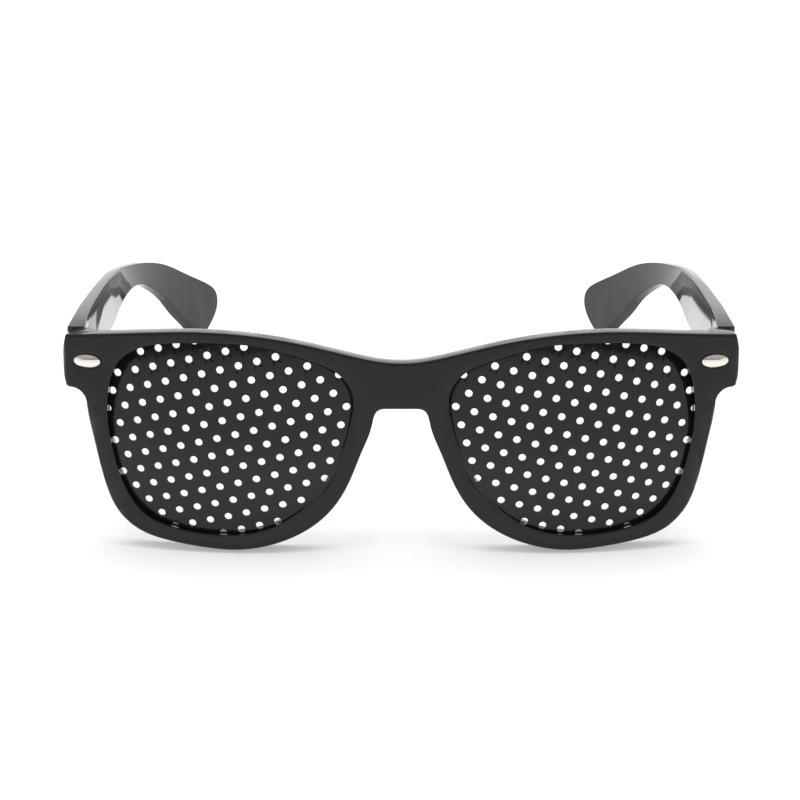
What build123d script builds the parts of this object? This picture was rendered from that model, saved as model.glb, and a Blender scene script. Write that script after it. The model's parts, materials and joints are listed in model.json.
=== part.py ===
"""Pinhole glasses, open and resting on the lower rims and the temple tips.

The pieces are modelled with the front upright: X runs to the right, Y runs back from the front
face towards the ears and Z runs up from the lowest point of the rims. At the end the whole is
leaned back until rims and tips stand on one surface, with the origin below the middle of the part.
Right-hand pieces are modelled and left-hand ones are their mirror images.
"""

from build123d import *
import math
import os

os.makedirs("parts", exist_ok=True)

# Front, in millimetres
front_width = 145.4
front_height = 47.8
rim_thickness = 4.8
bridge_setback = 1.3
end_setback = 6.95
end_corner_round = 1.5
face_edge_slope = 0.4

# Domed lens plates and their grooves
dome_radius = 80.0
dome_rise = 1.0
dome_span = 36.0
dome_steps = 4
plate_thickness = 1.0
plate_seat = 0.9
plate_clearance = 0.1

# Pinholes
pinhole_diameter = 1.72
pinhole_pitch = 4.038
pinhole_turn = 13.1
pinhole_reach = 0.2
pinhole_start_out = 3.98
pinhole_start_up = 3.94
pinhole_sides = 6

# Nose saddle
pad_depth = 6.0
pad_root_length = 17.0
pad_root_width = 3.2
pad_tip_length = 12.0
pad_tip_width = 1.9
pad_flare = 0.6
pad_sink = 1.6
pad_turn = 112.0

# End pieces
lug_width = 6.3
lug_depth = 7.05
lug_round = 3.0

# Temples
temple_gap = 0.25
temple_root_thickness = 3.8
temple_thickness = 2.7
temple_reach = 146.0
temple_bow = 3.7
hook_radius = 84.0
hook_start = 91.0

# Hinges
barrel_diameter = 2.5
barrel_height = 7.2
barrel_clearance = 0.25
knuckle_gap = 0.1
axle_diameter = 1.4
axle_clearance = 0.05
axle_head_diameter = 2.3
axle_head_height = 0.7
leaf_thickness = 0.9
leaf_clearance = 0.05
leaf_round = 0.9
flange_length = 3.3
temple_leaf_length = 10.5

# Oval studs
stud_length = 6.3
stud_height = 2.95
stud_proud = 0.75
stud_sink = 0.5
stud_clearance = 0.06
stud_edge_slope = 0.45
stud_tang_width = 0.9
stud_tang_length = 1.6
stud_tang_spacing = 3.2

# Cutting overrun
overrun = 2.0

half_width = front_width / 2

# Outlines seen from the front: shares of the half width and of the front's height
brow_shares = [
    (0.0, 0.856), (0.132, 0.885), (0.308, 0.952), (0.454, 0.988), (0.605, 1.0), (0.806, 0.985), (0.988, 0.967),
]
end_side_shares = [(1.0, 0.857), (0.991, 0.735)]
notch_shares = [(0.98, 0.728), (0.945, 0.708), (0.93, 0.646)]
rim_shares = [
    (0.912, 0.494), (0.884, 0.308), (0.842, 0.161), (0.784, 0.082), (0.702, 0.038), (0.6, 0.012),
    (0.488, 0.0), (0.376, 0.027), (0.286, 0.084), (0.21, 0.176), (0.151, 0.318), (0.116, 0.45), (0.085, 0.577),
]
saddle_shares = [(0.047, 0.648), (0.0, 0.648)]
mouth_shares = [
    (0.867, 0.617), (0.858, 0.753), (0.829, 0.854), (0.764, 0.921), (0.66, 0.948), (0.527, 0.951), (0.392, 0.93),
    (0.275, 0.875), (0.184, 0.81), (0.142, 0.711), (0.146, 0.607), (0.171, 0.473), (0.22, 0.322), (0.296, 0.19),
    (0.399, 0.098), (0.523, 0.071), (0.66, 0.094), (0.762, 0.159), (0.817, 0.272), (0.851, 0.429),
]
mouth_steps = 32
brow_end_slope = 0.06
rim_start_slope = 0.1
dome_share = (0.4305, 0.46)
pad_share = (0.154, 0.41)
stud_share = (0.9237, 0.852)

# The front face seen from above: shares of the half width and of a setback
bridge_plan_shares = [(0.165, 0.81), (0.426, 0.0)]
end_plan_shares = [(0.688, 0.237), (0.88, 0.648), (1.0, 1.0)]

# Temple seen from the side: shares of its reach and of the front's height
temple_top_shares = [
    (0.19, 0.993), (0.334, 0.996), (0.476, 0.987), (0.651, 0.962), (0.784, 0.933), (0.881, 0.872), (0.937, 0.789),
    (0.973, 0.73), (0.995, 0.672),
]
temple_end_shares = [(1.0, 0.588), (0.988, 0.486), (0.972, 0.424)]
temple_corner_shares = [(0.9635, 0.408), (0.955, 0.424)]
temple_low_shares = [
    (0.938, 0.485), (0.904, 0.584), (0.878, 0.667), (0.829, 0.762), (0.779, 0.814), (0.747, 0.816), (0.707, 0.797),
    (0.631, 0.743), (0.552, 0.709),
]
temple_root_shares = (0.973, 0.732)
bow_share = (0.4675, 0.64)
bow_outer_shares = [(0.285, 0.23), (0.793, 0.8)]


def front_points(shares):
    return [(x * half_width, z * front_height) for x, z in shares]


def temple_points(shares):
    return [(y * temple_reach, z * front_height) for y, z in shares]


brow = front_points(brow_shares)
end_side = front_points(end_side_shares)
notch = front_points(notch_shares)
rim = front_points(rim_shares)
saddle = front_points(saddle_shares)
mouth = front_points(mouth_shares)
dome_x, dome_z = front_points([dome_share])[0]
pad_x, pad_z = front_points([pad_share])[0]
stud_x, stud_z = front_points([stud_share])[0]

face_plan = [(0, bridge_setback)]
face_plan += [(x * half_width, y * bridge_setback) for x, y in bridge_plan_shares]
face_plan += [(x * half_width, y * end_setback) for x, y in end_plan_shares]


def band_points(depth):
    """Points of the line that runs a depth behind the front face, from end to end."""
    right = [(x, y + depth) for x, y in face_plan]
    left = [(-x, y) for x, y in right[:0:-1]]
    return left + right


def crossing(line, x):
    """Point at which a line seen from above is a distance x from the middle."""
    return line.find_intersection_points(Axis((x, 0, 0), (0, 1, 0)))[0]


with BuildLine() as face_line:
    Spline(*band_points(0))
with BuildLine() as rear_line:
    Spline(*band_points(rim_thickness))

# Hinge places
lug_rear = end_setback + lug_depth
lug_medial = half_width - lug_width
lug_front = end_setback + rim_thickness / 2
lug_bottom = end_side[1][1]
temple_front = lug_rear + temple_gap
temple_inner = half_width - temple_root_thickness
barrel_radius = barrel_diameter / 2
axis_x = temple_inner - barrel_clearance - barrel_radius
axis_y = lug_rear + temple_gap / 2
barrel_bottom = stud_z - barrel_height / 2
barrel_top = stud_z + barrel_height / 2
knuckle_height = (barrel_height - 2 * knuckle_gap) / 3
leaf_standoff = math.sqrt(2) * barrel_radius
arm_medial = axis_x - barrel_radius
arm_lateral = arm_medial + leaf_thickness
arm_rear = axis_y - leaf_standoff


with BuildLine() as mouth_line:
    Spline(*mouth, periodic=True)


def grown_mouth(reach):
    """Points of the right-hand mouth's line moved outwards by a distance."""
    edge = mouth_line.edge()
    points = []
    for step in range(mouth_steps):
        place = edge @ (step / mouth_steps)
        way = edge % (step / mouth_steps)
        points.append((place.X + reach * way.Y, place.Y - reach * way.X))
    return points


def dome_face(radius):
    """Domed face about the centre of the right-hand plate's curve, wider than the mouth."""
    rows = []
    for i in range(-dome_steps, dome_steps + 1):
        out = dome_span * i / dome_steps
        ups = [dome_span * j / dome_steps for j in range(-dome_steps, dome_steps + 1)]
        rows.append([
            Vector(dome_x + out, dome_radius - dome_rise - math.sqrt(radius**2 - out**2 - up**2), dome_z + up)
            for up in ups
        ])
    return Face.make_surface_from_array_of_points(rows)


def domed_plate(reach, skin):
    """Right-hand domed plate that reaches past the mouth, with a skin added to both faces."""
    with BuildPart() as plate:
        with BuildSketch(Plane.XZ.offset(overrun)):
            with BuildLine():
                Spline(*grown_mouth(reach), periodic=True)
            make_face()
        extrude(amount=-lug_rear)
        extrude(dome_face(dome_radius + skin), amount=lug_rear, dir=(0, 1, 0), mode=Mode.INTERSECT)
        extrude(
            dome_face(dome_radius - plate_thickness - skin), amount=lug_rear, dir=(0, 1, 0), mode=Mode.SUBTRACT
        )
    return plate.part


def pinhole_places():
    """Places of the right-hand plate's pinholes seen from the front."""
    with BuildSketch() as field:
        with BuildLine():
            Spline(*grown_mouth(pinhole_reach), periodic=True)
        make_face()
    turn = math.radians(pinhole_turn)
    row = (-math.cos(turn), math.sin(turn))
    skew = (-math.cos(turn - math.pi / 3), math.sin(turn - math.pi / 3))
    rings = math.ceil(half_width / pinhole_pitch)
    places = []
    for i in range(-rings, rings + 1):
        for j in range(-rings, rings + 1):
            x = dome_x + pinhole_start_out + pinhole_pitch * (i * row[0] + j * skew[0])
            z = dome_z + pinhole_start_up + pinhole_pitch * (i * row[1] + j * skew[1])
            if field.face().is_inside((x, z, 0)):
                places.append((x, z))
    return places


def straight_plane(near, far, rearward, start=0):
    """Upright plane on the chord between two points seen from above, from a start share of it."""
    run = Vector(far.X - near.X, far.Y - near.Y, 0)
    normal = Vector(-run.Y, run.X, 0) if rearward else Vector(run.Y, -run.X, 0)
    place = near + run * start
    return Plane(origin=(place.X, place.Y, stud_z), x_dir=run, z_dir=normal)


# The front leaf is sunk in the rear of the end piece
flange_plane = straight_plane(
    crossing(rear_line.edge(), arm_medial - flange_length), crossing(rear_line.edge(), arm_medial), True
)
flange_slope = flange_plane.x_dir.Y / flange_plane.x_dir.X


def flange_point(x, depth):
    """Point at x, a depth in front of the end piece's rear face."""
    base = flange_plane.origin.Y + (x - flange_plane.origin.X) * flange_slope
    return (x, base - depth / flange_plane.x_dir.X)


def front_leaf_outline(arm_end):
    """Flange and arm of the front leaf seen from above, the arm running back to arm_end."""
    flange_medial = flange_plane.origin.X
    return [
        flange_point(flange_medial, leaf_thickness),
        flange_point(arm_lateral, leaf_thickness),
        (arm_lateral, arm_end),
        (arm_medial, arm_end),
        flange_point(arm_medial, 0),
        flange_point(flange_medial, 0),
    ]


# Seat of the stud on the front of the end piece
stud_plane = straight_plane(
    crossing(face_line.edge(), stud_x - stud_length / 2), crossing(face_line.edge(), stud_x + stud_length / 2),
    False, start=1 / 2,
)

# Temple seen from above
hook_x = temple_inner + temple_bow - hook_radius
bow_run = hook_start - temple_front
hook_reach = temple_reach + overrun
bow_outer = temple_bow + temple_thickness - temple_root_thickness


def hook_point(radius, y):
    """Point of an arc of the ear hook at a distance y behind the front."""
    return (hook_x + math.sqrt(radius**2 - (y - hook_start) ** 2), y)


with BuildLine() as temple_inner_line:
    Spline(
        (temple_inner, temple_front),
        (temple_inner + bow_share[1] * temple_bow, temple_front + bow_share[0] * bow_run),
        (temple_inner + temple_bow, hook_start),
        tangents=[(2 * temple_bow, bow_run), (0, 1)],
    )
leaf_seat = temple_inner_line.edge()
temple_seat = straight_plane(leaf_seat @ 0, leaf_seat @ (temple_leaf_length / bow_run), True)


def knuckles(places, link):
    """Barrel knuckles counted from the bottom, each with its link to the leaf."""
    for place in places:
        with BuildSketch(Plane.XY.offset(barrel_bottom + place * (knuckle_height + knuckle_gap))) as knuckle:
            with Locations((axis_x, axis_y)):
                Circle(barrel_radius)
            with BuildLine():
                Polyline(*link, close=True)
            make_face()
        extrude(knuckle.sketch, amount=knuckle_height)
    with BuildSketch(Plane.XY.offset(barrel_bottom)) as bore:
        with Locations((axis_x, axis_y)):
            Circle(axle_diameter / 2 + axle_clearance)
    extrude(bore.sketch, amount=barrel_height, mode=Mode.SUBTRACT)


def temple_leaf(skin):
    """Temple leaf in its seat in the temple, grown by a skin."""
    with BuildPart() as leaf:
        with BuildSketch(temple_seat):
            with Locations(((temple_leaf_length + leaf_standoff) / 2, 0)):
                RectangleRounded(
                    temple_leaf_length - leaf_standoff + 2 * skin, barrel_height + 2 * skin, leaf_round + skin
                )
        extrude(amount=-leaf_thickness - skin)
    return leaf.part


def left_of(right, name):
    """Mirror image of a right-hand piece."""
    with BuildPart() as left:
        mirror(right.part, about=Plane.YZ)
    left.part.label = name
    return left


# Front frame
pad_front = crossing(rear_line.edge(), pad_x).Y
groove = domed_plate(plate_seat, plate_clearance)
with BuildPart() as end_recess:
    with BuildSketch(Plane.XY.offset(barrel_bottom - leaf_clearance)):
        with BuildLine():
            Polyline(*front_leaf_outline(axis_y), close=True)
        make_face()
        offset(amount=leaf_clearance, kind=Kind.INTERSECTION)
    extrude(amount=barrel_height + 2 * leaf_clearance)
    with BuildSketch():
        with Locations((axis_x, axis_y)):
            Circle(barrel_radius + barrel_clearance)
    extrude(amount=barrel_top + barrel_clearance)
    with BuildSketch(stud_plane.offset(-stud_sink)):
        Ellipse(stud_length / 2 + stud_clearance, stud_height / 2 + stud_clearance)
    extrude(amount=stud_sink + overrun)
    with BuildSketch(stud_plane.offset(-stud_sink)):
        with GridLocations(stud_tang_spacing, 0, 2, 1):
            Rectangle(stud_tang_width + 2 * stud_clearance, stud_tang_width + 2 * stud_clearance)
    extrude(amount=-stud_tang_length)

with BuildPart() as frame_front:
    with BuildSketch(Plane.XY.offset(-overrun)):
        with BuildLine():
            near = Spline(*band_points(0))
            far = Spline(*band_points(rim_thickness))
            Line(near @ 0, far @ 0)
            Line(near @ 1, far @ 1)
        make_face()
        ends = vertices().group_by(Axis.X)
        fillet([ends[0].sort_by(Axis.Y)[0], ends[-1].sort_by(Axis.Y)[0]], end_corner_round)
    extrude(amount=front_height + 2 * overrun)
    with BuildSketch(Plane.XY.offset(lug_bottom)):
        for side in (1, -1):
            with Locations((side * (lug_medial + half_width) / 2, (lug_front + lug_rear) / 2)):
                Rectangle(lug_width, lug_rear - lug_front)
        fillet(vertices().group_by(Axis.Y)[-1].filter_by(lambda v: abs(v.X) < axis_x), lug_round)
    extrude(amount=front_height + overrun - lug_bottom)
    with BuildSketch(Plane.XZ.offset(overrun)):
        with BuildLine():
            Spline(*brow, tangents=[(1, 0), (1, -brow_end_slope)])
            ThreePointArc(brow[-1], end_side[0], end_side[1])
            Line(end_side[1], notch[0])
            ThreePointArc(*notch)
            Spline(notch[-1], *rim, saddle[0], tangents=[(-rim_start_slope, -1), (-1, 0)])
            Line(saddle[0], saddle[1])
            mirror(about=Plane.YZ)
        make_face()
    extrude(amount=-lug_rear - 2 * overrun, mode=Mode.INTERSECT)
    face = faces().filter_by(lambda f: f.bounding_box().size.Z > 2 * lug_width and abs(f.center().X) < overrun)
    long_edges = face.sort_by(Axis.Y)[0].edges().filter_by(lambda e: e.length > lug_width)
    chamfer(long_edges.filter_by(lambda e: e.bounding_box().size.X > lug_width), face_edge_slope)
    with BuildSketch(Plane.XZ.offset(overrun)):
        with BuildLine():
            Spline(*mouth, periodic=True)
        make_face()
        mirror(about=Plane.YZ)
    extrude(amount=-lug_rear - 2 * overrun, mode=Mode.SUBTRACT)
    for side in (1, -1):
        pad_root = Plane.XZ.offset(pad_sink - pad_front)
        with BuildSketch(pad_root):
            with Locations((side * pad_x, pad_z)):
                SlotOverall(pad_root_length, pad_root_width, rotation=side * pad_turn)
        with BuildSketch(pad_root.offset(-pad_sink - pad_depth)):
            with Locations((side * (pad_x + pad_flare), pad_z)):
                SlotOverall(pad_tip_length, pad_tip_width, rotation=side * pad_turn)
        loft()
    for hollow in (groove, end_recess.part):
        add(hollow, mode=Mode.SUBTRACT)
        add(mirror(hollow, about=Plane.YZ, mode=Mode.PRIVATE), mode=Mode.SUBTRACT)
frame_front.part.label = "frame_front"

# Pinhole plates
with BuildPart() as pinhole_lens_right:
    add(domed_plate(plate_seat - plate_clearance, 0))
    with BuildSketch(Plane.XZ.offset(overrun)):
        with Locations(*pinhole_places()):
            RegularPolygon(radius=pinhole_diameter / 2, side_count=pinhole_sides, major_radius=False)
    extrude(amount=-lug_rear, mode=Mode.SUBTRACT)
pinhole_lens_right.part.label = "pinhole_lens_right"

# Temples
with BuildPart() as temple_right:
    with BuildSketch(Plane.XY):
        with BuildLine():
            add(leaf_seat)
            inner_hook = ThreePointArc(
                hook_point(hook_radius, hook_start), hook_point(hook_radius, (hook_start + hook_reach) / 2),
                hook_point(hook_radius, hook_reach),
            )
            outer = Spline(
                (half_width, temple_front),
                *[(half_width + x * bow_outer, temple_front + y * bow_run) for y, x in bow_outer_shares],
                hook_point(hook_radius + temple_thickness, hook_start),
                tangents=[(0, 1), (0, 1)],
            )
            outer_hook = ThreePointArc(
                outer @ 1,
                hook_point(hook_radius + temple_thickness, (hook_start + hook_reach) / 2),
                hook_point(hook_radius + temple_thickness, hook_reach),
            )
            Line((temple_inner, temple_front), outer @ 0)
            Line(inner_hook @ 1, outer_hook @ 1)
        make_face()
    extrude(amount=front_height + overrun)
    with BuildSketch(Plane.YZ):
        with BuildLine():
            root_top = (temple_front, temple_root_shares[0] * front_height)
            root_low = (temple_front, temple_root_shares[1] * front_height)
            end_points = temple_points(temple_end_shares)
            corner = temple_points(temple_corner_shares)
            low = temple_points(temple_low_shares)
            Spline(root_top, *temple_points(temple_top_shares), *end_points)
            ThreePointArc(end_points[-1], *corner)
            Spline(corner[-1], *low)
            Line(low[-1], root_low)
            Line(root_low, root_top)
        make_face()
    extrude(amount=front_width, mode=Mode.INTERSECT)
    add(temple_leaf(leaf_clearance), mode=Mode.SUBTRACT)
temple_right.part.label = "temple_right"

# Hinges
with BuildPart() as front_hinge_leaf_right:
    with BuildSketch(Plane.XY.offset(barrel_bottom)):
        with BuildLine():
            Polyline(*front_leaf_outline(arm_rear), close=True)
        make_face()
    extrude(amount=barrel_height)
    knuckles((0, 2), [(arm_medial, arm_rear), (arm_lateral, arm_rear), (arm_lateral, axis_y), (arm_medial, axis_y)])
front_hinge_leaf_right.part.label = "front_hinge_leaf_right"

with BuildPart() as temple_hinge_leaf_right:
    add(temple_leaf(0))
    leaf_start = temple_front + leaf_standoff
    link_rear = leaf_start + leaf_thickness
    leaf_floor = temple_inner + leaf_thickness
    link_lateral = temple_inner - leaf_clearance
    knuckles(
        (1,),
        [
            (axis_x, axis_y), (link_lateral, axis_y), (link_lateral, leaf_start), (leaf_floor, leaf_start),
            (leaf_floor, link_rear), (link_lateral - leaf_thickness, link_rear),
        ],
    )
temple_hinge_leaf_right.part.label = "temple_hinge_leaf_right"

with BuildPart() as hinge_screw_right:
    with BuildSketch(Plane.XY.offset(barrel_bottom)):
        with Locations((axis_x, axis_y)):
            Circle(axle_diameter / 2)
    extrude(amount=barrel_height)
    with BuildSketch(Plane.XY.offset(barrel_bottom)):
        with Locations((axis_x, axis_y)):
            Circle(axle_head_diameter / 2)
    extrude(amount=-axle_head_height)
hinge_screw_right.part.label = "hinge_screw_right"

# Studs
with BuildPart() as end_stud_right:
    with BuildSketch(stud_plane.offset(stud_clearance - stud_sink)):
        Ellipse(stud_length / 2, stud_height / 2)
    extrude(amount=stud_sink - stud_clearance + stud_proud)
    chamfer(faces().sort_by(Axis(stud_plane.origin, stud_plane.z_dir))[-1].edges(), stud_edge_slope)
    with BuildSketch(stud_plane.offset(stud_clearance - stud_sink)):
        with GridLocations(stud_tang_spacing, 0, 2, 1):
            Rectangle(stud_tang_width, stud_tang_width)
    extrude(amount=-stud_tang_length)
end_stud_right.part.label = "end_stud_right"

# Left-hand pieces
pinhole_lens_left = left_of(pinhole_lens_right, "pinhole_lens_left")
temple_left = left_of(temple_right, "temple_left")
front_hinge_leaf_left = left_of(front_hinge_leaf_right, "front_hinge_leaf_left")
temple_hinge_leaf_left = left_of(temple_hinge_leaf_right, "temple_hinge_leaf_left")
hinge_screw_left = left_of(hinge_screw_right, "hinge_screw_left")
end_stud_left = left_of(end_stud_right, "end_stud_left")


def lowest(part, lean):
    """Height of the lowest point of a part leaned back by an angle."""
    return part.rotate(Axis.X, -lean).bounding_box().min.Z


# The glasses lean back until the rims and the temple tips are equally low
lean = 0
for step in range(4):
    drop = lowest(temple_right.part, lean) - lowest(frame_front.part, lean)
    lean += math.degrees(math.atan2(drop, temple_reach))
leaned = Compound([frame_front.part, temple_right.part]).rotate(Axis.X, -lean).bounding_box()
stand = Location((0, -leaned.center().Y, -leaned.min.Z), (-lean, 0, 0))
hinge_axis = stand * Pos(axis_x, axis_y, stud_z)
print("lean", lean, "hinge axis", hinge_axis)

for piece in (
    frame_front, pinhole_lens_left, pinhole_lens_right, temple_left, temple_right, end_stud_left, end_stud_right,
    front_hinge_leaf_left, front_hinge_leaf_right, temple_hinge_leaf_left, temple_hinge_leaf_right,
    hinge_screw_left, hinge_screw_right,
):
    name = piece.part.label
    piece.part.move(stand)
    export_step(piece.part, f"parts/{name}.step")
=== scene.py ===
"""Looks of the pinhole glasses: moulded front, perforated plates, studs, hinges and temples."""

import json
import math

import bmesh
import bpy
from mathutils import Matrix, Vector


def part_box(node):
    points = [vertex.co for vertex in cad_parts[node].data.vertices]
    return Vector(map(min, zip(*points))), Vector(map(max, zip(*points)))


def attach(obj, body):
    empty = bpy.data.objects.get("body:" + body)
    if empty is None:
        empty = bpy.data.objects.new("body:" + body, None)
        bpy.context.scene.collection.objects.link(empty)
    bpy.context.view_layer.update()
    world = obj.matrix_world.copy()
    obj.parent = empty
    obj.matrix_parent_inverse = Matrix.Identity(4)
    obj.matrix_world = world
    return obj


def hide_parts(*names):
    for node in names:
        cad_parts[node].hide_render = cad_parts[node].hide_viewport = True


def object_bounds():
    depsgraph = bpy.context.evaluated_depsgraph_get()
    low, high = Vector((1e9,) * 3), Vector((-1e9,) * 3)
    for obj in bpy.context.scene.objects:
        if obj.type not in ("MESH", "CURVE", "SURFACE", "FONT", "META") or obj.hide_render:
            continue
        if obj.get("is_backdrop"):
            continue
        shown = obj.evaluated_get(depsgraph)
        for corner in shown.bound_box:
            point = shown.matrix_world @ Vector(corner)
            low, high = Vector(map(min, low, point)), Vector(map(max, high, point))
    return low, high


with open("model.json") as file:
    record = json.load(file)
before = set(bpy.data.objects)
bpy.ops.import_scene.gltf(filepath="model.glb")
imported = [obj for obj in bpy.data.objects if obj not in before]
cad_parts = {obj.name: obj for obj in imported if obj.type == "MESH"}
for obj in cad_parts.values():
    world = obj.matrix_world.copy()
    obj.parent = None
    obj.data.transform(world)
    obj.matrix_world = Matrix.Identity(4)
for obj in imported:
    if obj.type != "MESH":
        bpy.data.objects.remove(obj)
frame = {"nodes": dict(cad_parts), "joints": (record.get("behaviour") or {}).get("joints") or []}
cad_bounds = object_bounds()

bl_info = {
    "name": "Pinhole Glasses",
    "version": (1, 0, 0),
    "blender": (4, 5, 0),
    "location": "3D View > Sidebar > Glasses",
    "description": "Models the visible pieces of a pair of pinhole glasses on a studio floor",
    "category": "Add Mesh",
}

MM = 0.001
SIDES = ("left", "right")
HALF_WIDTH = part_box("frame_front")[1].x
FRONT_HEIGHT = 47.8 * MM

# Places on the front's right half, as shares of its half width and of its height
MOUTH_SHARES = [
    (0.867, 0.617), (0.858, 0.753), (0.829, 0.854), (0.764, 0.921), (0.66, 0.948),
    (0.527, 0.951), (0.392, 0.93), (0.275, 0.875), (0.184, 0.81), (0.142, 0.711),
    (0.146, 0.607), (0.171, 0.473), (0.22, 0.322), (0.296, 0.19), (0.399, 0.098),
    (0.523, 0.071), (0.66, 0.094), (0.762, 0.159), (0.817, 0.272), (0.851, 0.429),
]
DOME_SHARE = (0.4305, 0.46)
STUD_SHARE = (0.9237, 0.852)

# The upright front has its lowest point at height 0 and its foremost line at depth 0. It turns
# about the right-hand hinge's place, level with the studs, until it stands as the frame does.
HINGE = next(joint for joint in frame["joints"] if joint["child"] == "temple_right")
HINGE_DEPTH = 14.125 * MM
HINGE_PLACE = Vector((HINGE["pos_m"][0], HINGE_DEPTH, STUD_SHARE[1] * FRONT_HEIGHT))
LEAN = math.atan2(HINGE["axis"][1], HINGE["axis"][2])
STAND = (
    Matrix.Translation(HINGE["pos_m"])
    @ Matrix.Rotation(-LEAN, 4, "X")
    @ Matrix.Translation(-HINGE_PLACE)
)

# Gaps that are welded, in a CAD node's copy or the mouth's prism, and between the cells of a plate
WELD = 0.001 * MM
CELL_WELD = 0.01 * MM

# Turns between faces: merged as flat, merged on a temple, rounded as an edge, rounded as square
FLAT = math.radians(0.3)
GENTLE = math.radians(2)
SHARP = math.radians(40)
SQUARE = math.radians(60)

WHITE = (1, 1, 1, 1)


# Sizes and colours


def a_length(name, description, millimetres):
    return bpy.props.FloatProperty(
        name=name, description=description, default=millimetres * MM, min=0, unit="LENGTH",
        precision=5,
    )


def an_angle(name, description, degrees):
    return bpy.props.FloatProperty(
        name=name, description=description, default=math.radians(degrees), subtype="ANGLE"
    )


def a_colour(name, description, default):
    return bpy.props.FloatVectorProperty(
        name=name, description=description, default=default, size=3, min=0, max=1, subtype="COLOR"
    )


def a_number(name, description, default, **limits):
    return bpy.props.FloatProperty(name=name, description=description, default=default, **limits)


def a_share(name, description, default):
    return a_number(name, description, default, min=0, max=1, subtype="FACTOR")


class PlateSizes(bpy.types.PropertyGroup):
    """Sizes of the perforated plates."""

    radius: a_length("Dome radius", "Radius of the plates' domed face", 80)
    rise: a_length("Dome rise", "Height of the dome before the front's foremost line", 1)
    thickness: a_length("Thickness", "Thickness of a plate", 1)
    seat: a_length("Seat", "Depth of a plate's edge in the rim's groove", 0.8)
    pitch: a_length("Pitch", "Distance between neighbouring pinholes", 4.038)
    pinhole: a_length("Pinhole", "Diameter of a pinhole", 1.6)
    edge: a_length("Soft edge", "Width of the soft edge round a pinhole", 0.12)
    turn: an_angle("Turn", "Slope of the rows of pinholes", 13.1)
    out: a_length("First pinhole out", "First pinhole's distance beside the dome's middle", 3.98)
    up: a_length("First pinhole up", "First pinhole's distance above the dome's middle", 3.94)
    reach: a_length("Reach", "How far past the mouth a pinhole's middle may lie", 0.2)
    sides: bpy.props.IntProperty(
        name="Sides", description="Sides of a pinhole", default=24, min=12, max=48, step=12
    )


class StudSizes(bpy.types.PropertyGroup):
    """Sizes of the oval studs."""

    length: a_length("Length", "Length of a stud", 6.1)
    height: a_length("Height", "Height of a stud", 2.75)
    fullness: a_number("Fullness", "Power of the domed face's rule, 2 for a round dome", 2, min=1)
    edge: a_length("Soft edge", "Round of the stud's edge", 0.2)
    wall: a_length("Wall", "Height of the stud's edge above the front's face", 0.1)
    crown: a_length("Crown", "Height of the domed face above its edge", 0.62)
    sink: a_length("Sink", "Depth of the stud in its recess", 0.42)
    depth: a_length("Depth", "Distance of the stud's seat behind the foremost line", 5.369)
    turn: an_angle("Turn", "Turn of the stud's seat away from straight ahead", 15.25)


class EdgeSizes(bpy.types.PropertyGroup):
    """Rounds of the moulded and stamped edges, and the slot of the screws."""

    temple: a_length("Temple edge", "Round of the temples' edges at their tips", 0.45)
    hinge_share: a_share("Hinge share", "Share of that round at the hinges", 0.6)
    full_share: a_share("Full share", "Share of a temple's depth at which its round is full", 0.7)
    front: a_length("Front edge", "Round of the front's square edges", 0.2)
    slope_share: a_share("Slope share", "Share of that round on the front's sloped edges", 0.85)
    stamped: a_length("Stamped edge", "Round of the hinge leaves' edges", 0.1)
    slot: a_length("Slot", "Width of the slot in a screw's head", 0.35)


class Colours(bpy.types.PropertyGroup):
    """Colours of the finishes and of the stage."""

    plastic: a_colour("Plastic", "Glossy black of front and temples", (0.008, 0.008, 0.0088))
    plate: a_colour("Plates", "Satin black of the perforated plates", (0.008, 0.008, 0.0086))
    stud: a_colour("Studs", "Polished metal of the studs", (0.86, 0.81, 0.75))
    hinge: a_colour("Hinges", "Plated steel of the hinges", (0.58, 0.57, 0.56))
    floor: a_colour("Floor", "Matt white of the floor", (0.9, 0.9, 0.905))


class StageSizes(bpy.types.PropertyGroup):
    """Camera, floor, lamp and ceiling."""

    distance: a_length("Distance", "Distance from the camera to the front", 415)
    elevation: an_angle("Elevation", "Height of the view above the front's own level", 13)
    aim: a_length("Aim", "Height above the lower rims at which the camera looks", 33.4)
    aside: a_length("Aside", "How far left of the glasses' middle the camera looks", 0.235)
    focal: a_number("Focal length", "Focal length in millimetres", 88.07, min=1)
    surroundings: a_share("Surroundings", "Light of the surroundings on matt surfaces", 0.63)
    floor: a_length("Floor", "Width of the floor", 8000)
    veil: a_share("Floor veil", "Share of plain white seen in the floor round the glasses", 0.35)
    clear: a_length("Clear floor", "Where, from the middle, the floor looks plain white", 1500)
    lamp: a_length("Lamp", "Height of the overhead lamp", 900)
    lamp_back: a_length("Lamp back", "Distance of the lamp behind the glasses' middle", 150)
    lamp_width: a_length("Lamp width", "Width of the lamp", 1000)
    lamp_depth: a_length("Lamp depth", "Depth of the lamp from front to back", 800)
    power: a_number("Power", "Power of the lamp in watts", 10, min=0, unit="POWER")
    ceiling: a_length("Ceiling", "Height of the dim ceiling that glossy surfaces mirror", 1200)
    ceiling_width: a_length("Ceiling width", "Width of the ceiling", 6000)
    front_slope: an_angle("Ceiling front", "Slope of the line to the ceiling's front edge", 28)
    back_slope: an_angle("Ceiling back", "Slope of the line to the ceiling's back edge", 30)
    glow: a_share("Ceiling glow", "Light of the ceiling where it is full", 0.45)


# Materials


class Field:
    """A value that varies over a surface; arithmetic on it adds Math nodes."""

    def __init__(self, finish, socket):
        self.finish = finish
        self.socket = socket

    def math(self, operation, first, second):
        return self.finish.node("ShaderNodeMath", {"operation": operation}, {0: first, 1: second})

    def __add__(self, other):
        return self.math("ADD", self, other)

    def __mul__(self, other):
        return self.math("MULTIPLY", self, other)

    __radd__ = __add__
    __rmul__ = __mul__


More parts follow.
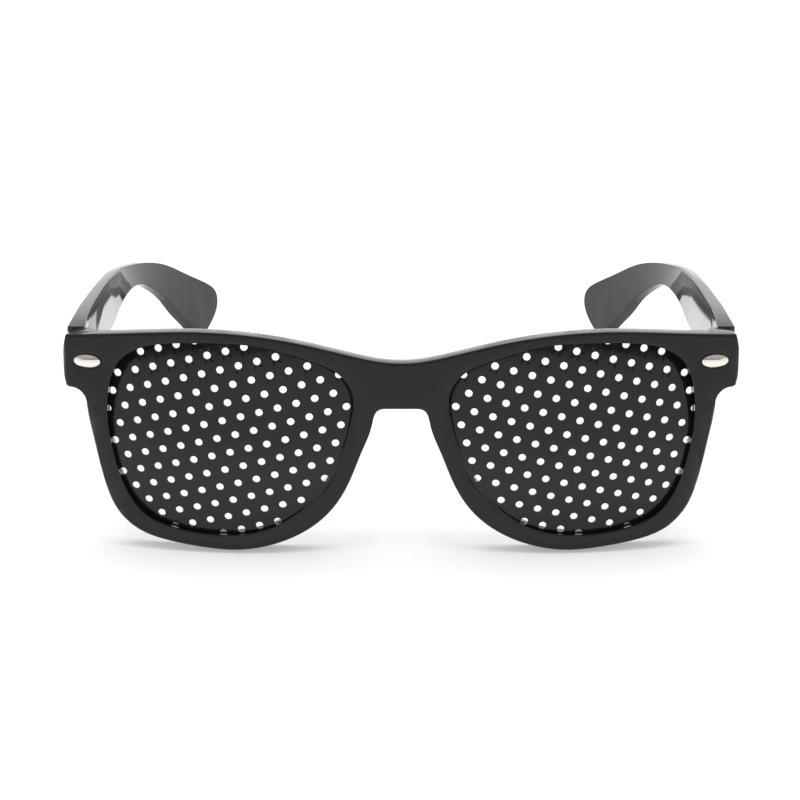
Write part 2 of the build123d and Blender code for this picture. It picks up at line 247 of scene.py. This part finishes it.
class Finish:
    """The nodes of a material or of the world, with one method that adds them."""

    def __init__(self, owner, surface="Principled BSDF", output="Material Output"):
        owner.use_nodes = True
        self.owner = owner
        self.tree = owner.node_tree
        self.surface = self.tree.nodes[surface]
        self.output = self.tree.nodes[output]

    def feed(self, socket, value):
        if isinstance(value, Field):
            self.tree.links.new(value.socket, socket)
        else:
            socket.default_value = value

    def node(self, kind, settings, values, output=0):
        """Add a node, make its settings, feed its sockets and return one of its outputs."""
        made = self.tree.nodes.new(kind)
        for name, value in settings.items():
            setattr(made, name, value)
        for name, value in values.items():
            self.feed(made.inputs[name], value)
        return Field(self, made.outputs[output])

    def place(self):
        """The point's place on the object."""
        return self.node("ShaderNodeTexCoord", {}, {}, "Object")

    def noise(self, scale, detail=2, stretch=(1, 1, 1)):
        """Noise with so many cells to the metre, fewer where a stretch is under one."""
        place = self.node("ShaderNodeMapping", {}, {"Vector": self.place(), "Scale": stretch})
        values = {"Vector": place, "Scale": scale, "Detail": detail}
        return self.node("ShaderNodeTexNoise", {}, values, "Fac")

    def blend(self, mask, first, second):
        """A colour between two, where sockets 0, 6 and 7 are the factor and the colours."""
        values = {0: mask, 6: (*first, 1), 7: (*second, 1)}
        return self.node("ShaderNodeMix", {"data_type": "RGBA"}, values, 2)

    def bump(self, height, distance, strength):
        values = {"Height": height, "Distance": distance, "Strength": strength}
        return self.node("ShaderNodeBump", {}, values)

    def glow(self, strength):
        """Plain white light."""
        return self.node("ShaderNodeEmission", {}, {"Color": WHITE, "Strength": strength})

    def seen(self):
        """One where the camera, a reflection or clear material looks, else zero."""
        rays = ("Is Camera Ray", "Is Glossy Ray", "Is Transmission Ray")
        return sum(self.node("ShaderNodeLightPath", {}, {}, ray) for ray in rays)

    def set(self, **values):
        """Feed the surface's sockets, named with underscores for spaces, and return the owner."""
        for name, value in values.items():
            self.feed(self.surface.inputs[name.replace("_", " ")], value)
        return self.owner

    def mix(self, share, first, second):
        """Show a mix of two shaders and return the owner."""
        mixed = self.node("ShaderNodeMixShader", {}, {0: share, 1: first, 2: second})
        self.feed(self.output.inputs["Surface"], mixed)
        return self.owner


def lighter(tone, gain):
    return tuple(min(1, part * gain) for part in tone)


def moulded_plastic(name, tone, roughness, grain_depth, index):
    """Black injection-moulded plastic with faint flow marks, handling haze and a fine grain."""
    finish = Finish(bpy.data.materials.new(name))
    flow = finish.noise(60, detail=3, stretch=(1, 1, 0.35))
    haze = finish.noise(700, detail=4)
    grain = finish.noise(4200)
    return finish.set(
        Base_Color=finish.blend(flow, lighter(tone, 0.8), lighter(tone, 1.25)),
        Roughness=roughness + haze * 0.03 + flow * 0.02,
        IOR=index,
        Normal=finish.bump(grain * 0.4 + haze * 0.6, grain_depth, strength=0.6),
    )


def polished_metal(name, tone, roughness):
    """Bright plated metal with fine polishing marks along its length."""
    finish = Finish(bpy.data.materials.new(name))
    marks = finish.noise(2600, detail=3, stretch=(0.12, 1, 1))
    cloud = finish.noise(240)
    return finish.set(
        Base_Color=finish.blend(cloud, lighter(tone, 0.92), lighter(tone, 1.05)),
        Metallic=1.0,
        Roughness=roughness + marks * 0.06 + cloud * 0.04,
        Normal=finish.bump(marks, 0.002 * MM, strength=0.5),
    )


def brushed_steel(name, tone, roughness):
    """Stamped plated steel, drawn along the glasses' depth."""
    finish = Finish(bpy.data.materials.new(name))
    draw = finish.noise(3000, detail=4, stretch=(1, 0.06, 1))
    cloud = finish.noise(300)
    return finish.set(
        Base_Color=finish.blend(cloud, lighter(tone, 0.85), lighter(tone, 1.1)),
        Metallic=1.0,
        Roughness=roughness + draw * 0.18,
        Normal=finish.bump(draw, 0.006 * MM, strength=0.6),
    )


def paper_floor(tone, veil, clear):
    """Matt white floor, seen with the glasses' shadow near them and as plain white far out."""
    finish = Finish(bpy.data.materials.new("studio_floor"))
    fibre = finish.noise(400, detail=3)
    colour = finish.blend(fibre, lighter(tone, 0.99), tone)
    finish.set(Base_Color=colour, Roughness=0.9, Specular_IOR_Level=0.0)
    lit = Field(finish, finish.surface.outputs[0])
    place = finish.place()
    away = finish.node("ShaderNodeVectorMath", {"operation": "LENGTH"}, {0: place}, "Value")
    near = clear / 5
    share = finish.node(
        "ShaderNodeMapRange", {"interpolation_type": "SMOOTHSTEP"},
        {"Value": away, "From Min": near, "From Max": clear, "To Min": veil, "To Max": 1.0},
    )
    return finish.mix(finish.seen() * share, lit, finish.glow(1.0))


def dim_ceiling(dark, full, strength):
    """Dim ceiling, black in front of one depth and at its full strength behind another."""
    finish = Finish(bpy.data.materials.new("studio_ceiling"))
    back = finish.node("ShaderNodeSeparateXYZ", {}, {"Vector": finish.place()}, "Y")
    values = {"Value": back, "From Min": dark, "From Max": full}
    share = finish.node("ShaderNodeMapRange", {}, values)
    return finish.mix(share, finish.glow(0.0), finish.glow(strength))


def pale_world(strength):
    """Plain white surroundings, which light matt surfaces a little less than they show."""
    finish = Finish(bpy.data.worlds.new("surroundings"), "Background", "World Output")
    return finish.set(Color=WHITE, Strength=finish.seen() * (1 - strength) + strength)


def finish_of(slot):
    """The material of one of the record's slots, made when it is first asked for."""
    tones = bpy.context.scene.glasses_colours
    made = bpy.data.materials.get(slot + "_finish")
    if made is None:
        screw = lighter(tones.hinge, 1.15)
        front = {"roughness": 0.09, "grain_depth": 0.002 * MM, "index": 1.37}
        temple = {"roughness": 0.03, "grain_depth": 0.0006 * MM, "index": 1.58}
        plate = {"roughness": 0.13, "grain_depth": 0.002 * MM, "index": 1.4}
        maker, tone, values = {
            "frame_plastic": (moulded_plastic, tones.plastic, front),
            "temple_plastic": (moulded_plastic, tones.plastic, temple),
            "plate_plastic": (moulded_plastic, tones.plate, plate),
            "stud_metal": (polished_metal, tones.stud, {"roughness": 0.11}),
            "hinge_metal": (brushed_steel, tones.hinge, {"roughness": 0.28}),
            "screw_metal": (polished_metal, screw, {"roughness": 0.2}),
        }[slot]
        made = maker(slot + "_finish", tone, **values)
    return made


# Modelling


def select_only(piece):
    """Leave edit mode with one object selected and active."""
    if bpy.context.mode != "OBJECT":
        bpy.ops.object.mode_set(mode="OBJECT")
    bpy.ops.object.select_all(action="DESELECT")
    piece.select_set(True)
    bpy.context.view_layer.objects.active = piece


def edit(piece, *steps):
    """Run edit-mode steps on the whole of a piece's mesh."""
    select_only(piece)
    bpy.ops.object.mode_set(mode="EDIT")
    bpy.ops.mesh.select_all(action="SELECT")
    for step in steps:
        step()
    bpy.ops.object.mode_set(mode="OBJECT")


def apply_modifier(piece, kind, **settings):
    """Add a modifier to a piece and apply it."""
    select_only(piece)
    made = piece.modifiers.new(kind.title(), kind)
    for name, value in settings.items():
        setattr(made, name, value)
    bpy.ops.object.modifier_apply(modifier=made.name)


def move_points(piece, move):
    """Move each point of a piece's mesh by a rule from its place."""
    for point in piece.data.vertices:
        point.co = move(point.co)
    piece.data.update()


def finish_piece(piece, name, body, slot, *nodes):
    """Give a modelled piece its name, finish and body, and let it stand for CAD nodes."""
    select_only(piece)
    bpy.ops.object.transform_apply(location=True, rotation=True, scale=True)
    piece.name = name
    piece.data.name = name
    piece.data.materials.clear()
    piece.data.materials.append(finish_of(slot))
    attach(piece, body)
    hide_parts(*nodes)


def copy_node(node):
    """A welded copy of a CAD node's mesh."""
    piece = bpy.data.objects.new(node + "_copy", frame["nodes"][node].data.copy())
    bpy.context.scene.collection.objects.link(piece)
    edit(
        piece,
        lambda: bpy.ops.mesh.remove_doubles(threshold=WELD),
        lambda: bpy.ops.mesh.dissolve_limited(angle_limit=FLAT),
        lambda: bpy.ops.mesh.tris_convert_to_quads(
            face_threshold=math.radians(10), shape_threshold=math.radians(35)
        ),
    )
    return piece


def mirrored(piece):
    """A copy of a piece on the other side of the glasses."""
    select_only(piece)
    bpy.ops.object.duplicate()
    other = bpy.context.object
    move_points(other, lambda place: Vector((-place.x, place.y, place.z)))
    edit(other, lambda: bpy.ops.mesh.normals_make_consistent(inside=False))
    return other


def round_edges(piece, width, segments, limit=SHARP, share=lambda angle, place: 1):
    """Round outer edges past a limit, each by its share of a width, and shade the rest smooth."""
    shape = bmesh.new()
    shape.from_mesh(piece.data)
    weight = shape.edges.layers.float.new("bevel_weight_edge")
    for edge in shape.edges:
        angle = edge.calc_face_angle(0)
        if edge.is_convex and angle > limit:
            edge[weight] = share(angle, (edge.verts[0].co + edge.verts[1].co) / 2)
    shape.to_mesh(piece.data)
    shape.free()
    apply_modifier(
        piece, "BEVEL", width=width, segments=segments, limit_method="WEIGHT",
        use_clamp_overlap=False,
    )
    select_only(piece)
    bpy.ops.object.shade_smooth_by_angle(angle=limit)


class GLASSES_OT_front(bpy.types.Operator):
    """Round and finish the moulded front"""

    bl_idname = "glasses.front"
    bl_label = "Moulded Front"

    def execute(self, context):
        sizes = context.scene.glasses_edges

        def share(angle, place):
            """Share of the round, which is smaller on a sloped edge than on a square one."""
            return 1 if angle > SQUARE else sizes.slope_share

        piece = copy_node("frame_front")
        round_edges(piece, sizes.front, segments=3, share=share)
        finish_piece(piece, "front", "root", "frame_plastic", "frame_front")
        return {"FINISHED"}


class GLASSES_OT_temples(bpy.types.Operator):
    """Round and finish the two temples"""

    bl_idname = "glasses.temples"
    bl_label = "Temples"

    def execute(self, context):
        sizes = context.scene.glasses_edges
        for side in SIDES:
            low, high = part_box(f"temple_{side}")

            def share(angle, place):
                """Share of the round, which grows smoothly from the hinge to the ear bend."""
                along = min(max((place.y - low.y) / (high.y - low.y) / sizes.full_share, 0), 1)
                smooth = along * along * (3 - 2 * along)
                return sizes.hinge_share + (1 - sizes.hinge_share) * smooth

            node = f"temple_{side}"
            piece = copy_node(node)
            edit(piece, lambda: bpy.ops.mesh.dissolve_limited(angle_limit=GENTLE))
            round_edges(piece, sizes.temple, segments=4, share=share)
            finish_piece(piece, f"temple_arm_{side}", node, "temple_plastic", node)
        return {"FINISHED"}


class GLASSES_OT_plates(bpy.types.Operator):
    """Model one domed perforated plate and mirror it"""

    bl_idname = "glasses.plates"
    bl_label = "Pinhole Plates"

    def execute(self, context):
        self.sizes = context.scene.glasses_plates
        self.dome = Vector((DOME_SHARE[0] * HALF_WIDTH, 0, DOME_SHARE[1] * FRONT_HEIGHT))
        mouth = self.mouth_prism()
        plate = self.sheet(mouth)
        apply_modifier(plate, "SOLIDIFY", thickness=self.sizes.thickness, offset=-1)
        apply_modifier(
            plate, "BEVEL", width=self.sizes.edge, segments=2, limit_method="ANGLE",
            angle_limit=SQUARE, use_clamp_overlap=False,
        )
        apply_modifier(plate, "BOOLEAN", operation="INTERSECT", solver="EXACT", object=mouth)
        bpy.data.objects.remove(mouth)
        move_points(plate, self.domed)
        for side, piece in (("left", mirrored(plate)), ("right", plate)):
            select_only(piece)
            bpy.ops.object.shade_smooth_by_angle(angle=math.radians(50))
            apply_modifier(piece, "WEIGHTED_NORMAL", keep_sharp=True)
            node = f"pinhole_lens_{side}"
            finish_piece(piece, f"pinhole_plate_{side}", "root", "plate_plastic", node)
        return {"FINISHED"}

    def mouth_prism(self):
        """Prism on the mouth's line, grown by the plate's seat."""
        outline = bpy.data.curves.new("mouth", "CURVE")
        outline.dimensions = "2D"
        outline.fill_mode = "BOTH"
        line = outline.splines.new("BEZIER")
        line.bezier_points.add(len(MOUTH_SHARES) - 1)
        for point, (x, z) in zip(line.bezier_points, reversed(MOUTH_SHARES)):
            point.co = (x * HALF_WIDTH, z * FRONT_HEIGHT, 0)
            point.handle_left_type = point.handle_right_type = "AUTO"
        line.use_cyclic_u = True
        outline.resolution_u = 6
        outline.offset = self.sizes.seat
        outline.extrude = FRONT_HEIGHT
        prism = bpy.data.objects.new("mouth", outline)
        prism.rotation_euler = (math.pi / 2, 0, 0)
        bpy.context.scene.collection.objects.link(prism)
        select_only(prism)
        bpy.ops.object.convert(target="MESH")
        prism = bpy.context.object
        bpy.ops.object.transform_apply(location=True, rotation=True, scale=True)
        edit(
            prism,
            lambda: bpy.ops.mesh.remove_doubles(threshold=WELD),
            lambda: bpy.ops.mesh.normals_make_consistent(inside=False),
        )
        return prism

    def cell(self):
        """One hexagonal cell with its pinhole still closed, facing forwards."""
        sizes = self.sizes
        bpy.ops.mesh.primitive_circle_add(vertices=sizes.sides, radius=sizes.pinhole / 2)
        cell = bpy.context.object
        cell.rotation_euler = (math.pi / 2, 0, 0)
        bpy.ops.object.transform_apply(location=True, rotation=True, scale=True)
        turn = Matrix.Rotation(sizes.turn, 4, "Y")
        move_points(cell, lambda place: turn @ place)
        edit(cell, lambda: bpy.ops.mesh.extrude_region_move())
        for point in cell.data.vertices[sizes.sides :]:
            way = math.atan2(point.co.z, point.co.x)
            off = (way + sizes.turn + math.pi / 6) % (math.pi / 3) - math.pi / 6
            point.co = Vector((math.cos(way), 0, math.sin(way))) * sizes.pitch / 2 / math.cos(off)
        shape = bmesh.new()
        shape.from_mesh(cell.data)
        shape.verts.ensure_lookup_table()
        shape.faces.new(shape.verts[: sizes.sides])
        shape.to_mesh(cell.data)
        shape.free()
        return cell

    def sheet(self, mouth):
        """Sheet of cells that covers the mouth, with the pinholes open that lie inside it."""
        sizes = self.sizes
        rings = math.ceil(FRONT_HEIGHT / sizes.pitch)
        ways = [
            Vector((-math.cos(turn), 0, math.sin(turn))) * sizes.pitch
            for turn in (sizes.turn, sizes.turn - math.pi / 3)
        ]
        first = self.dome + Vector((sizes.out, 0, sizes.up)) - rings * (ways[0] + ways[1])
        cell = self.cell()
        move_points(cell, lambda place: place + first)
        for way in ways:
            apply_modifier(
                cell, "ARRAY", count=2 * rings + 1, use_relative_offset=False,
                use_constant_offset=True, constant_offset_displace=way,
            )
        edit(
            cell,
            lambda: bpy.ops.mesh.remove_doubles(threshold=CELL_WELD),
            lambda: bpy.ops.mesh.normals_make_consistent(inside=False),
        )
        shape = bmesh.new()
        shape.from_mesh(cell.data)
        middle = Vector((HALF_WIDTH / 2, 0, FRONT_HEIGHT / 2))
        free = []
        for face in shape.faces:
            off = face.calc_center_median() - middle
            span = off.length + sizes.seat - sizes.reach
            covered = mouth.ray_cast(middle, off.normalized(), distance=span)[0]
            if len(face.verts) == sizes.sides and not covered:
                free.append(face)
        bmesh.ops.delete(shape, geom=free, context="FACES")
        shape.to_mesh(cell.data)
        shape.free()
        return cell

    def domed(self, place):
        """A flat plate's point moved on to the dome and leaned with the front."""
        sizes = self.sizes
        across = (place - self.dome).xz.length
        back = sizes.radius - sizes.rise - math.sqrt(sizes.radius**2 - across**2)
        return STAND @ (place + Vector((0, back, 0)))


class GLASSES_OT_studs(bpy.types.Operator):
    """Model one domed oval stud and mirror it"""

    bl_idname = "glasses.studs"
    bl_label = "Oval Studs"

    def execute(self, context):
        sizes = context.scene.glasses_studs
        bpy.ops.mesh.primitive_uv_sphere_add(segments=64, ring_count=32, radius=1)
        stud = bpy.context.object
        edit(
            stud,
            lambda: bpy.ops.mesh.bisect(plane_co=(0, 0, 0), plane_no=(0, 0, 1), clear_inner=True),
            lambda: bpy.ops.mesh.extrude_region_move(
                TRANSFORM_OT_translate={"value": (0, 0, -(sizes.wall + sizes.sink) / sizes.crown)}
            ),
            lambda: bpy.ops.mesh.edge_face_add(),
        )
        move_points(stud, lambda place: self.domed(place, sizes))
        round_edges(stud, sizes.edge, segments=2, limit=math.radians(30))
        outwards = Vector((math.sin(sizes.turn), -math.cos(sizes.turn), 0))
        along = Vector((math.cos(sizes.turn), math.sin(sizes.turn), 0))
        centre = Vector((STUD_SHARE[0] * HALF_WIDTH, sizes.depth, STUD_SHARE[1] * FRONT_HEIGHT))
        seat = Matrix((along, Vector((0, 0, 1)), outwards)).transposed().to_4x4()
        seat.translation = centre + outwards * sizes.wall
        move_points(stud, lambda place: STAND @ seat @ place)
        finish_piece(mirrored(stud), "stud_left", "root", "stud_metal", "end_stud_left")
        finish_piece(stud, "stud_right", "root", "stud_metal", "end_stud_right")
        return {"FINISHED"}

    def domed(self, place, sizes):
        """A point of the unit dome and its wall, at the stud's size."""
        rise = 1 - place.xy.length**sizes.fullness if place.z >= 0 else place.z
        return Vector((place.x * sizes.length / 2, place.y * sizes.height / 2, rise * sizes.crown))


class GLASSES_OT_hinges(bpy.types.Operator):
    """Finish the stamped hinge leaves and cut the slots of their screws"""

    bl_idname = "glasses.hinges"
    bl_label = "Hinges"

    def execute(self, context):
        sizes = context.scene.glasses_edges
        for side in SIDES:
            for holder, body in (("front", "root"), ("temple", f"temple_{side}")):
                node = f"{holder}_hinge_leaf_{side}"
                piece = copy_node(node)
                round_edges(piece, sizes.stamped, segments=2)
                finish_piece(piece, "dressed_" + node, body, "hinge_metal", node)
            node = f"hinge_screw_{side}"
            piece = copy_node(node)
            round_edges(piece, sizes.stamped, segments=2)
            self.cut_slot(piece, node, sizes)
            finish_piece(piece, "slotted_" + node, "root", "screw_metal", node)
        return {"FINISHED"}

    def cut_slot(self, piece, node, sizes):
        """Cut a driver's slot across the head of a hinge screw."""
        low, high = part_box(node)
        axis = Vector(HINGE["axis"])
        top = Vector(HINGE["pos_m"]) + axis * (high.z - HINGE["pos_m"][2]) / axis.z
        top.x = (low.x + high.x) / 2
        bpy.ops.mesh.primitive_cube_add(size=1)
        cutter = bpy.context.object
        turn = axis.to_track_quat("Z", "X")
        scale = Vector((sizes.slot, high.x - low.x, 2 * sizes.slot))
        move_points(cutter, lambda place: top + turn @ (place * scale))
        apply_modifier(piece, "BOOLEAN", operation="DIFFERENCE", solver="EXACT", object=cutter)
        bpy.data.objects.remove(cutter)


class GLASSES_OT_stage(bpy.types.Operator):
    """Lay the floor, hang the ceiling and the lamp, and set the camera"""

    bl_idname = "glasses.stage"
    bl_label = "Studio Stage"

    def execute(self, context):
        scene = context.scene
        sizes = scene.glasses_stage
        bpy.ops.mesh.primitive_plane_add(size=sizes.floor)
        floor = context.object
        floor.name = "floor"
        paper = paper_floor(scene.glasses_colours.floor, sizes.veil, sizes.clear)
        floor.data.materials.append(paper)
        floor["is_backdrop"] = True
        scene.world = pale_world(sizes.surroundings)
        self.ceiling(sizes)
        self.lamp(sizes)
        self.camera(scene, sizes)
        scene.view_settings.view_transform = "Standard"
        return {"FINISHED"}

    def ceiling(self, sizes):
        """Ceiling over the table, there for reflections alone."""
        front = -sizes.ceiling / math.tan(sizes.front_slope)
        back = sizes.ceiling / math.tan(sizes.back_slope)
        bpy.ops.mesh.primitive_plane_add(size=1)
        ceiling = bpy.context.object
        ceiling.name = "ceiling"
        middle = Vector((0, (front + back) / 2, sizes.ceiling))
        scale = Vector((sizes.ceiling_width, back - front, 1))
        move_points(ceiling, lambda place: middle + place * scale)
        dark, full = front + sizes.ceiling / 4, front + sizes.ceiling
        ceiling.data.materials.append(dim_ceiling(dark, full, sizes.glow))
        ceiling.visible_camera = ceiling.visible_diffuse = False
        ceiling.visible_transmission = ceiling.visible_shadow = False
        ceiling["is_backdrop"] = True

    def lamp(self, sizes):
        """Large soft lamp overhead, aimed at the glasses' middle."""
        place = Vector((0, sizes.lamp_back, sizes.lamp))
        bpy.ops.object.light_add(type="AREA", location=place)
        lamp = bpy.context.object
        lamp.name = "overhead"
        lamp.rotation_euler = (-place).to_track_quat("-Z", "Y").to_euler()
        lamp.data.shape = "RECTANGLE"
        lamp.data.size, lamp.data.size_y = sizes.lamp_width, sizes.lamp_depth
        lamp.data.energy = sizes.power
        lamp.visible_glossy = False

    def camera(self, scene, sizes):
        """Camera at the photograph's viewing angle, above and in front."""
        aim = Vector((-sizes.aside, 0, sizes.aim))
        back = Vector((0, -math.cos(sizes.elevation), math.sin(sizes.elevation))) * sizes.distance
        place = STAND @ (aim + back)
        turn = (STAND @ aim - place).to_track_quat("-Z", "Y").to_euler()
        bpy.ops.object.camera_add(location=place, rotation=turn)
        camera = bpy.context.object
        camera.name = "camera"
        camera.data.lens = sizes.focal
        camera.data.sensor_width = 36
        camera.data.clip_start = 0.01
        scene.camera = camera


class GLASSES_PT_panel(bpy.types.Panel):
    """Pieces of the glasses and their sizes"""

    bl_idname = "GLASSES_PT_panel"
    bl_label = "Pinhole Glasses"
    bl_space_type = "VIEW_3D"
    bl_region_type = "UI"
    bl_category = "Glasses"

    def draw(self, context):
        for group in GROUPS:
            box = self.layout.box()
            sizes = getattr(context.scene, group)
            for name in sizes.__annotations__:
                box.prop(sizes, name)
        for piece in PIECES:
            self.layout.operator(piece.bl_idname)


GROUPS = {
    "glasses_plates": PlateSizes,
    "glasses_studs": StudSizes,
    "glasses_edges": EdgeSizes,
    "glasses_colours": Colours,
    "glasses_stage": StageSizes,
}
PIECES = (
    GLASSES_OT_front, GLASSES_OT_temples, GLASSES_OT_plates,
    GLASSES_OT_studs, GLASSES_OT_hinges, GLASSES_OT_stage,
)


def register():
    for made in (*GROUPS.values(), *PIECES, GLASSES_PT_panel):
        bpy.utils.register_class(made)
    for name, group in GROUPS.items():
        setattr(bpy.types.Scene, name, bpy.props.PointerProperty(type=group))


def unregister():
    for name in GROUPS:
        delattr(bpy.types.Scene, name)
    for made in reversed((*GROUPS.values(), *PIECES, GLASSES_PT_panel)):
        bpy.utils.unregister_class(made)


def main():
    register()
    for piece in PIECES:
        group, name = piece.bl_idname.split(".")
        getattr(getattr(bpy.ops, group), name)()
    sizes = [[list(corner) for corner in box] for box in (cad_bounds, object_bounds())]


if __name__ == "__main__":
    main()
